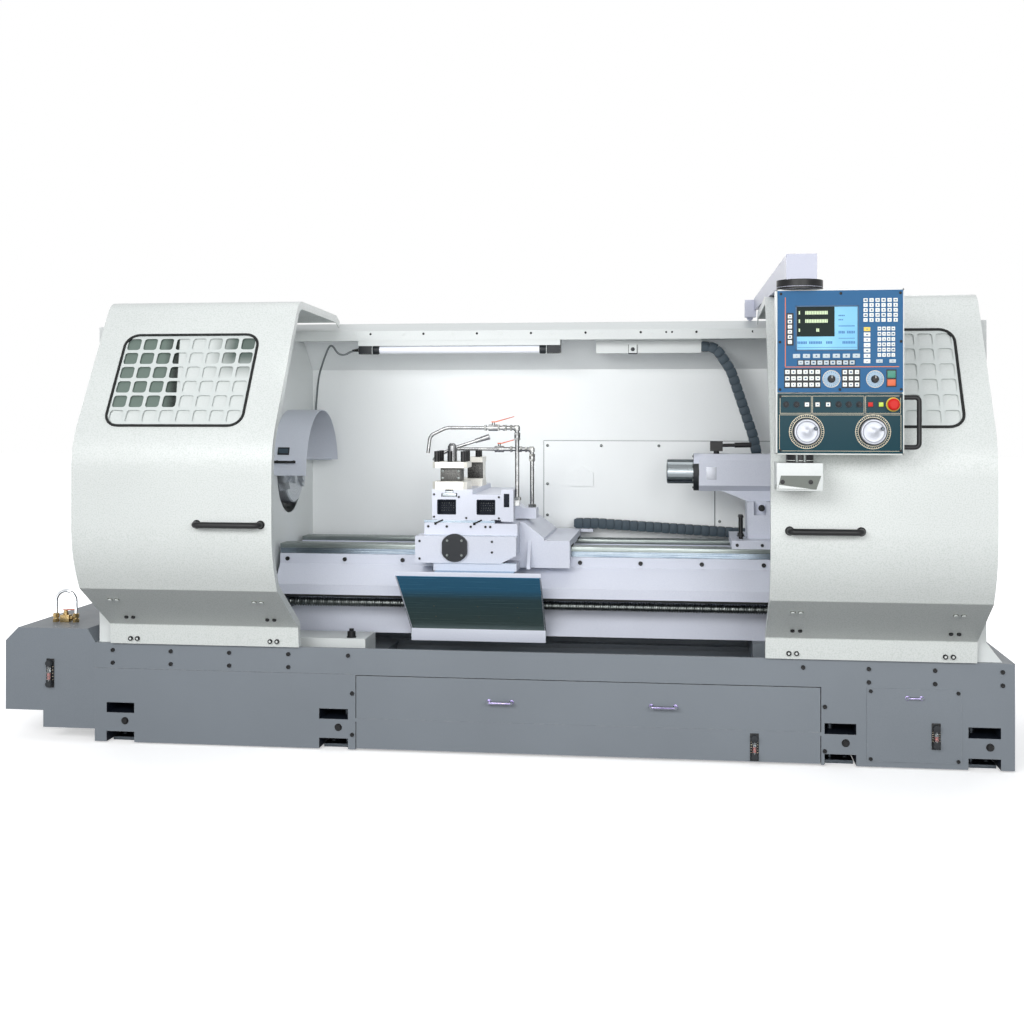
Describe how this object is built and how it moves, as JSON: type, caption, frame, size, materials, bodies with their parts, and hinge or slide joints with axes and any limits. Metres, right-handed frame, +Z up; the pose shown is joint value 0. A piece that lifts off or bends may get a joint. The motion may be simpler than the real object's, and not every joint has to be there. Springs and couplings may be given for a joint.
{
  "type": "cnc turning lathe",
  "caption": "Flat-bed turning lathe with sliding guard doors, chuck, carriage with tool post, tailstock, chip drawer and a swivelling control pendant.",
  "frame": {"origin": "on the floor, midway between the four outer anchor holes", "axes": "+X from the headstock to the tailstock, +Y from the operator to the back, +Z up"},
  "size_m": [3.654, 1.632, 1.728],
  "materials": {
    "painted_grey": "satin",
    "painted_white": "satin",
    "painted_lavender": "satin",
    "ground_steel": "ground",
    "black_steel": "satin",
    "chrome": "polished",
    "stainless": "mirror",
    "black_rubber": "matte",
    "black_plastic": "matte",
    "grey_plastic": "matte",
    "blue_panel": "satin",
    "red_plastic": "gloss",
    "orange_plastic": "gloss",
    "clear_tube": "gloss",
    "aluminium": "satin"
  },
  "bodies": {
    "machine_frame": {"base": "painted_grey", "levelling_feet": "black_steel", "coolant_tank": "painted_grey", "side_tank": "painted_grey", "tank_fittings": "chrome", "access_cover": "painted_grey", "frame_screws": "black_steel", "bed": "painted_lavender", "screw_cover": "painted_lavender", "headstock": "painted_lavender", "main_motor": "painted_grey", "drive_belt": "black_rubber", "left_casing": "painted_white", "right_casing": "painted_white", "rear_guard": "painted_white", "rear_cover": "painted_white", "top_rail": "painted_white", "lamp_housing": "painted_white", "lamp_tube": "clear_tube", "lamp_lead": "grey_plastic", "cable_tray": "painted_white", "electrical_cabinet": "painted_white", "z_drive": "black_steel"},
    "spindle_set": {"spindle": "ground_steel", "chuck_body": "ground_steel"},
    "jaw_1": {"chuck_jaw_1": "ground_steel"},
    "jaw_2": {"chuck_jaw_2": "ground_steel"},
    "jaw_3": {"chuck_jaw_3": "ground_steel"},
    "motor_wheel": {"motor_pulley": "ground_steel"},
    "drive_screw": {"z_ballscrew": "ground_steel"},
    "carriage": {"saddle": "painted_white", "chip_shield": "stainless", "lower_chain": "black_plastic"},
    "cross": {"cross_slide": "painted_lavender", "tool_post": "ground_steel", "clamp_screws": "black_steel", "rear_tool_block": "ground_steel", "coolant_pipes": "chrome"},
    "post_lever": {"clamp_lever": "chrome"},
    "front_valve": {"front_valve_lever": "orange_plastic"},
    "rear_valve": {"rear_valve_lever": "orange_plastic"},
    "tailstock": {"tailstock_body": "painted_lavender"},
    "tail_quill": {"quill": "ground_steel"},
    "lock_lever": {"quill_lock_lever": "black_steel"},
    "door_left": {"left_door": "painted_white", "left_window": "black_rubber"},
    "door_right": {"right_door": "painted_white", "right_window": "black_rubber", "pendant_arm": "painted_lavender", "upper_chain": "black_plastic"},
    "pendant": {"pendant_housing": "painted_white", "operator_panel": "blue_panel"},
    "wheel_x": {"handwheel_x": "aluminium"},
    "wheel_z": {"handwheel_z": "aluminium"},
    "dial_feed": {"feed_dial": "aluminium"},
    "dial_spindle": {"spindle_dial": "aluminium"},
    "stop_button": {"emergency_stop": "red_plastic"},
    "guard": {"chuck_guard": "painted_white"},
    "drawer": {"chip_drawer": "painted_grey"},
    "cabinet_leaf": {"cabinet_door": "painted_white"}
  },
  "joints": [
    {"name": "left_door_slide", "type": "slide", "parent": "machine_frame", "child": "door_left", "axis": [1, 0, 0], "range_m": [0, 0.836]},
    {"name": "right_door_slide", "type": "slide", "parent": "machine_frame", "child": "door_right", "axis": [1, 0, 0], "range_m": [-0.836, 0], "deforming": ["upper_chain"]},
    {"name": "carriage_slide", "type": "slide", "parent": "machine_frame", "child": "carriage", "axis": [1, 0, 0], "range_m": [-0.4, 0.5], "deforming": ["lower_chain"]},
    {"name": "z_screw_spin", "type": "hinge", "parent": "machine_frame", "child": "drive_screw", "pos_m": [0, -0.285, 0.502], "axis": [1, 0, 0], "continuous": true},
    {"name": "cross_slide_travel", "type": "slide", "parent": "carriage", "child": "cross", "axis": [0, 1, 0], "range_m": [0, 0.2]},
    {"name": "post_lever_turn", "type": "hinge", "parent": "cross", "child": "post_lever", "pos_m": [-0.336, -0.335, 1.08], "axis": [0, 0, 1], "range_deg": [-40, 50]},
    {"name": "front_valve_turn", "type": "hinge", "parent": "cross", "child": "front_valve", "pos_m": [-0.176, -0.36, 1.195], "axis": [0, 0, 1], "range_deg": [0, 90]},
    {"name": "rear_valve_turn", "type": "hinge", "parent": "cross", "child": "rear_valve", "pos_m": [-0.176, -0.2, 1.11], "axis": [0, 0, 1], "range_deg": [0, 90]},
    {"name": "tailstock_slide", "type": "slide", "parent": "machine_frame", "child": "tailstock", "axis": [1, 0, 0], "range_m": [-0.45, 0.1]},
    {"name": "quill_slide", "type": "slide", "parent": "tailstock", "child": "tail_quill", "axis": [1, 0, 0], "range_m": [-0.15, 0]},
    {"name": "quill_lock_turn", "type": "hinge", "parent": "tailstock", "child": "lock_lever", "pos_m": [0.651, -0.05, 1.08], "axis": [0, 0, 1], "range_deg": [-60, 60]},
    {"name": "spindle_spin", "type": "hinge", "parent": "machine_frame", "child": "spindle_set", "pos_m": [-1.2, -0.05, 1], "axis": [1, 0, 0], "continuous": true},
    {"name": "motor_pulley_spin", "type": "hinge", "parent": "machine_frame", "child": "motor_wheel", "pos_m": [-1.6, -0.05, 0.56], "axis": [1, 0, 0], "continuous": true},
    {"name": "jaw_1_slide", "type": "slide", "parent": "spindle_set", "child": "jaw_1", "axis": [0, 0, 1], "range_m": [-0.01, 0.02]},
    {"name": "jaw_2_slide", "type": "slide", "parent": "spindle_set", "child": "jaw_2", "axis": [0, -0.866, -0.5], "range_m": [-0.01, 0.02]},
    {"name": "jaw_3_slide", "type": "slide", "parent": "spindle_set", "child": "jaw_3", "axis": [0, 0.866, -0.5], "range_m": [-0.01, 0.02]},
    {"name": "chuck_guard_swing", "type": "hinge", "parent": "machine_frame", "child": "guard", "pos_m": [-0.98, 0.189, 1.036], "axis": [1, 0, 0], "range_deg": [-50, 0]},
    {"name": "pendant_swivel", "type": "hinge", "parent": "door_right", "child": "pendant", "pos_m": [0.894, -0.988, 1.35], "axis": [0, 0, 1], "range_deg": [-90, 0]},
    {"name": "handwheel_x_spin", "type": "hinge", "parent": "pendant", "child": "wheel_x", "pos_m": [0.912, -1.03, 1.171], "axis": [0, 1, 0], "continuous": true},
    {"name": "handwheel_z_spin", "type": "hinge", "parent": "pendant", "child": "wheel_z", "pos_m": [1.115, -1.03, 1.171], "axis": [0, 1, 0], "continuous": true},
    {"name": "feed_dial_turn", "type": "hinge", "parent": "pendant", "child": "dial_feed", "pos_m": [0.988, -1.03, 1.336], "axis": [0, 1, 0], "range_deg": [-150, 150]},
    {"name": "spindle_dial_turn", "type": "hinge", "parent": "pendant", "child": "dial_spindle", "pos_m": [1.121, -1.03, 1.335], "axis": [0, 1, 0], "range_deg": [-150, 150]},
    {"name": "stop_push", "type": "slide", "parent": "pendant", "child": "stop_button", "axis": [0, 1, 0], "range_m": [0, 0.004], "stiffness_N_per_m": 600},
    {"name": "drawer_slide", "type": "slide", "parent": "machine_frame", "child": "drawer", "axis": [0, -1, 0], "range_m": [0, 0.5]},
    {"name": "cabinet_door_swing", "type": "hinge", "parent": "machine_frame", "child": "cabinet_leaf", "pos_m": [0.114, 0.54, 0.872], "axis": [0, 0, 1], "range_deg": [0, 110]}
  ],
  "couplings": [
    {"joint": "z_screw_spin", "follows": "carriage_slide", "rad_per_m": 628.32},
    {"joint": "motor_pulley_spin", "follows": "spindle_spin", "ratio": 1.5},
    {"joint": "jaw_2_slide", "follows": "jaw_1_slide", "ratio": 1},
    {"joint": "jaw_3_slide", "follows": "jaw_1_slide", "ratio": 1}
  ]
}
